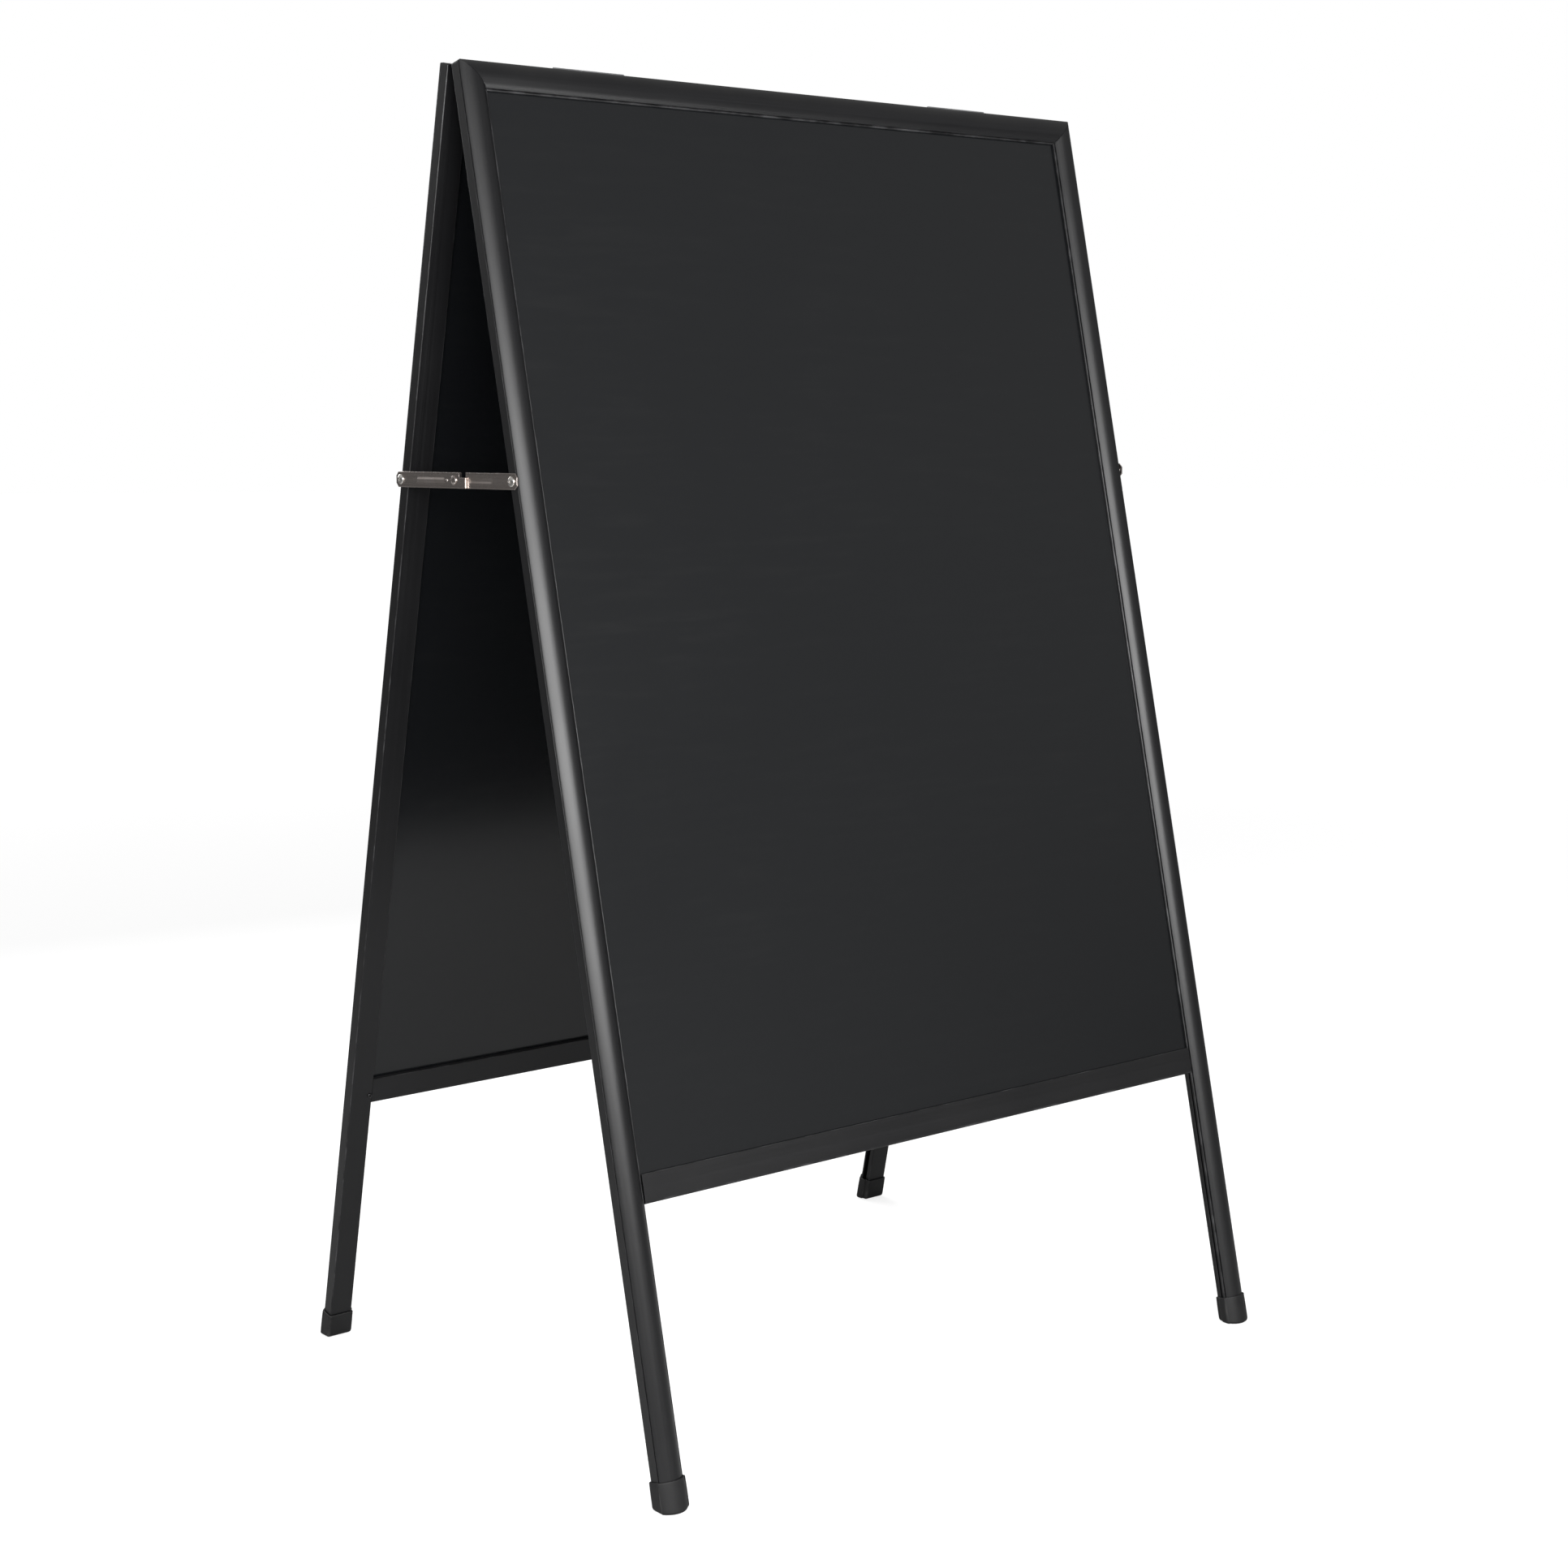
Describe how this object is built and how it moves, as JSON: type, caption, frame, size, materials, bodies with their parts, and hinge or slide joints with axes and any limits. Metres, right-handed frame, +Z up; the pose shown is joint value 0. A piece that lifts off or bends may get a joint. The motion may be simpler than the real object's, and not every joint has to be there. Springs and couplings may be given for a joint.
{
  "type": "sandwich board",
  "caption": "Folding A-frame pavement sign with framed blank writing boards, rubber feet, hinges along the top and riveted side stays.",
  "frame": {"origin": "on the ground, under the middle of the open sign", "axes": "+Z up, +X along the fold line, the front board faces -Y"},
  "size_m": [0.6198, 0.48, 0.9997],
  "materials": {
    "frame": "satin black anodised",
    "board": "smooth black laminate, low sheen",
    "foot": "matt black",
    "connector": "mill",
    "stay": "nickel plated",
    "hinge": "zinc plated"
  },
  "bodies": {
    "front_leaf": {"front_top_rail": "frame", "front_lower_rail": "frame", "front_board": "board", "front_rail_screws": "hinge", "front_hinge_screws": "hinge", "front_left_stile": "frame", "front_left_corner_key": "connector", "front_left_rail_connector": "connector", "front_left_foot": "foot", "front_left_hinge_flap": "hinge", "front_left_stay_rivet": "stay", "front_left_stay_washer": "stay", "front_right_stile": "frame", "front_right_corner_key": "connector", "front_right_rail_connector": "connector", "front_right_foot": "foot", "front_right_hinge_flap": "hinge", "front_right_stay_rivet": "stay", "front_right_stay_washer": "stay", "left_hinge_pin": "hinge", "right_hinge_pin": "hinge"},
    "rear_leaf": {"rear_top_rail": "frame", "rear_lower_rail": "frame", "rear_board": "board", "rear_rail_screws": "hinge", "rear_hinge_screws": "hinge", "rear_left_stile": "frame", "rear_left_corner_key": "connector", "rear_left_rail_connector": "connector", "rear_left_foot": "foot", "rear_left_hinge_flap": "hinge", "rear_left_stay_rivet": "stay", "rear_left_stay_washer": "stay", "rear_right_stile": "frame", "rear_right_corner_key": "connector", "rear_right_rail_connector": "connector", "rear_right_foot": "foot", "rear_right_hinge_flap": "hinge", "rear_right_stay_rivet": "stay", "rear_right_stay_washer": "stay"},
    "front_link_left": {"left_front_link": "stay"},
    "rear_link_left": {"left_rear_link": "stay", "left_middle_rivet": "stay"},
    "front_link_right": {"right_front_link": "stay"},
    "rear_link_right": {"right_rear_link": "stay", "right_middle_rivet": "stay"}
  },
  "joints": [
    {"name": "leaf_fold", "type": "hinge", "parent": "front_leaf", "child": "rear_leaf", "pos_m": [0, 0, 0.99745], "axis": [-1, 0, 0], "range_deg": [0, 25]},
    {"name": "front_link_left_pivot", "type": "hinge", "parent": "front_leaf", "child": "front_link_left", "pos_m": [-0.30625, -0.0721, 0.70349], "axis": [-1, 0, 0], "range_deg": [0, 97.17]},
    {"name": "rear_link_left_pivot", "type": "hinge", "parent": "rear_leaf", "child": "rear_link_left", "pos_m": [-0.3078, 0.0721, 0.70349], "axis": [1, 0, 0], "range_deg": [0, 97.17]},
    {"name": "front_link_right_pivot", "type": "hinge", "parent": "front_leaf", "child": "front_link_right", "pos_m": [0.30625, -0.0721, 0.70349], "axis": [-1, 0, 0], "range_deg": [0, 97.17]},
    {"name": "rear_link_right_pivot", "type": "hinge", "parent": "rear_leaf", "child": "rear_link_right", "pos_m": [0.3078, 0.0721, 0.70349], "axis": [1, 0, 0], "range_deg": [0, 97.17]}
  ],
  "couplings": [
    {"joint": "front_link_left_pivot", "follows": "leaf_fold", "ratio": 3.8847},
    {"joint": "rear_link_left_pivot", "follows": "leaf_fold", "ratio": 3.8847},
    {"joint": "front_link_right_pivot", "follows": "leaf_fold", "ratio": 3.8847},
    {"joint": "rear_link_right_pivot", "follows": "leaf_fold", "ratio": 3.8847}
  ]
}
